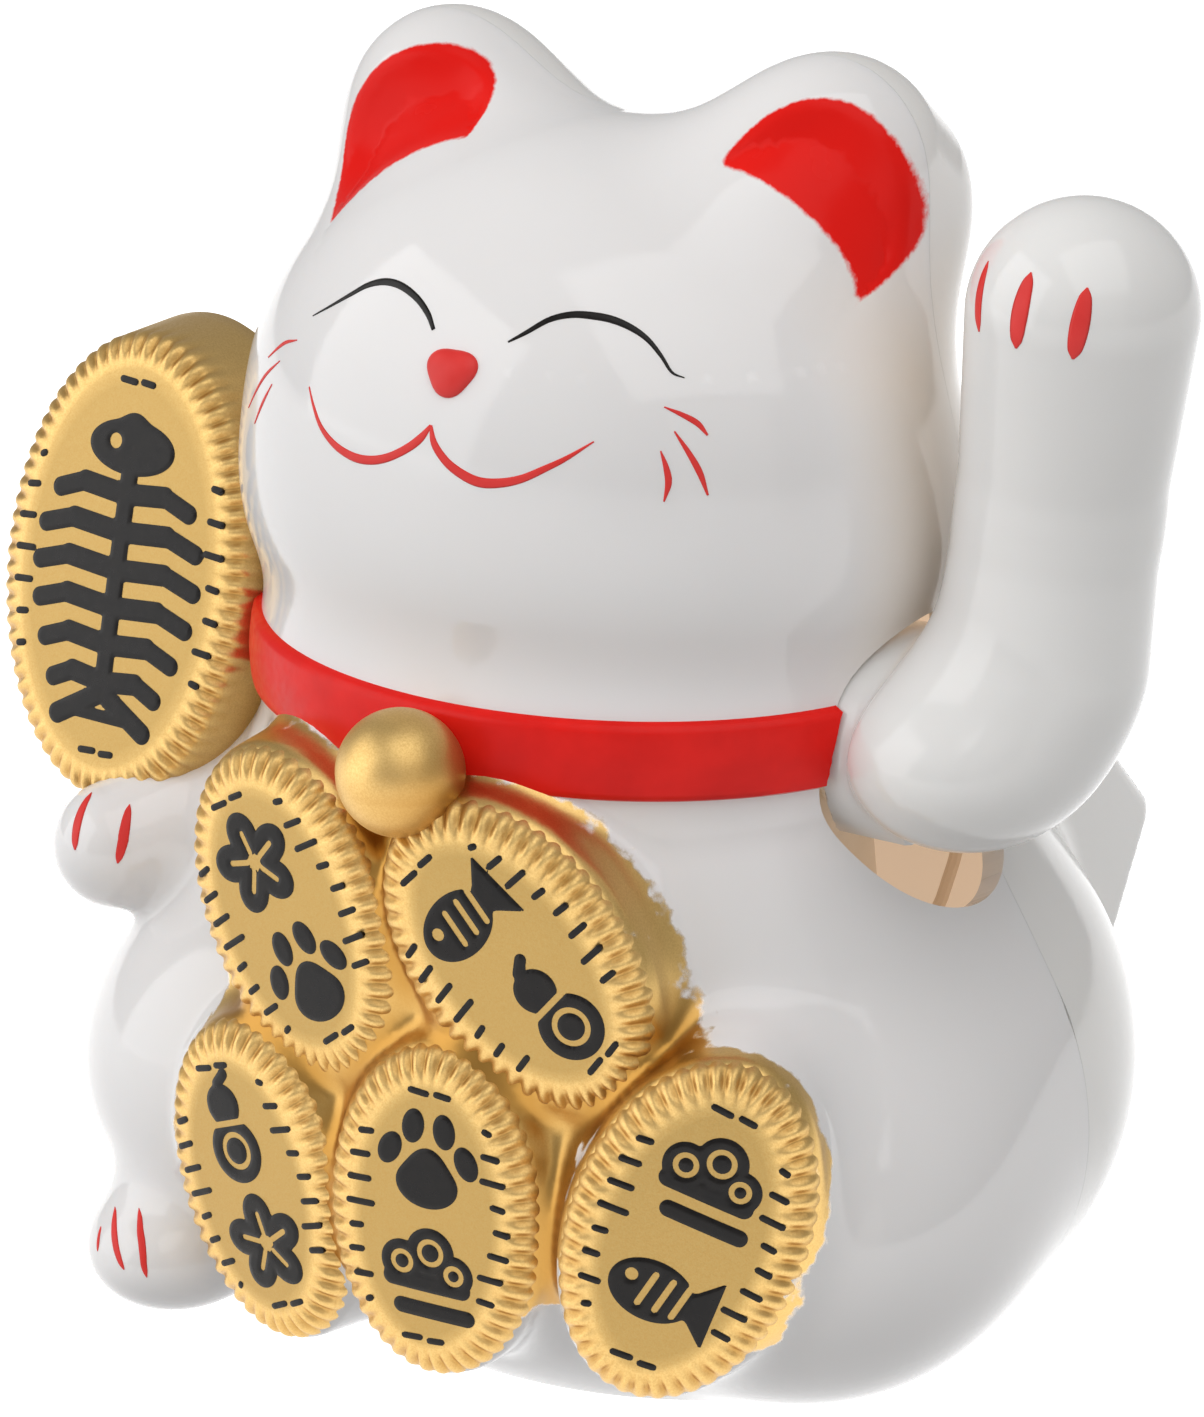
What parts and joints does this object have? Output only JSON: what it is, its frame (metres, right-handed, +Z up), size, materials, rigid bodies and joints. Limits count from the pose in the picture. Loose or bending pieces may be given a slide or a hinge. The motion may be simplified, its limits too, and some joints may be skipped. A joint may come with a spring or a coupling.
{
  "type": "solar waving cat figurine",
  "caption": "Small hollow cat figurine with a raised paw that rocks on a pendulum movement, holding gold coins on its belly and side.",
  "frame": {"origin": "on the ground under the cat's middle plane, on the flat underside of the base plate", "axes": "+Z up, the cat faces -Y, its raised left paw is on +X and the coin it holds is on -X"},
  "size_m": [0.0989, 0.0781, 0.1012],
  "materials": {
    "white_plastic": "glossy moulded plastic",
    "gold_paint": "satin metallic gold paint on plastic",
    "red_paint": "satin red paint on plastic",
    "steel": "plain",
    "cream_plastic": "natural moulded plastic",
    "black_plastic": "matte",
    "board": "satin",
    "copper_wire": "enamelled wire",
    "clear_cover": "clear",
    "cell": "glossy",
    "red_lead": "satin"
  },
  "bodies": {
    "figure": {"front_shell": "white_plastic", "rear_shell": "white_plastic", "base_plate": "white_plastic", "collar_front": "red_paint", "collar_rear": "red_paint", "bell": "gold_paint", "coin_upper_left": "gold_paint", "coin_upper_right": "gold_paint", "coin_lower_middle": "gold_paint", "coin_lower_right": "gold_paint", "coin_lower_left": "gold_paint", "big_coin": "gold_paint", "movement_frame": "cream_plastic", "circuit_board": "board", "coil_bobbin": "black_plastic", "drive_coil": "copper_wire", "capacitor": "black_plastic", "driver_chip": "black_plastic", "solar_window": "clear_cover", "solar_cell": "cell", "cell_tray": "cream_plastic", "lead_red": "red_lead", "lead_black": "black_plastic", "base_screw_1": "steel", "base_screw_2": "steel", "base_screw_3": "steel"},
    "swing": {"waving_arm": "white_plastic", "arm_hub": "cream_plastic", "arm_axle": "steel", "pendulum_lever": "cream_plastic", "counterweight": "steel", "magnet": "steel"}
  },
  "joints": [
    {"name": "arm_swing", "type": "hinge", "parent": "figure", "child": "swing", "pos_m": [0.008, -0.0005, 0.053], "axis": [1, 0, 0], "range_deg": [-15, 18]}
  ]
}
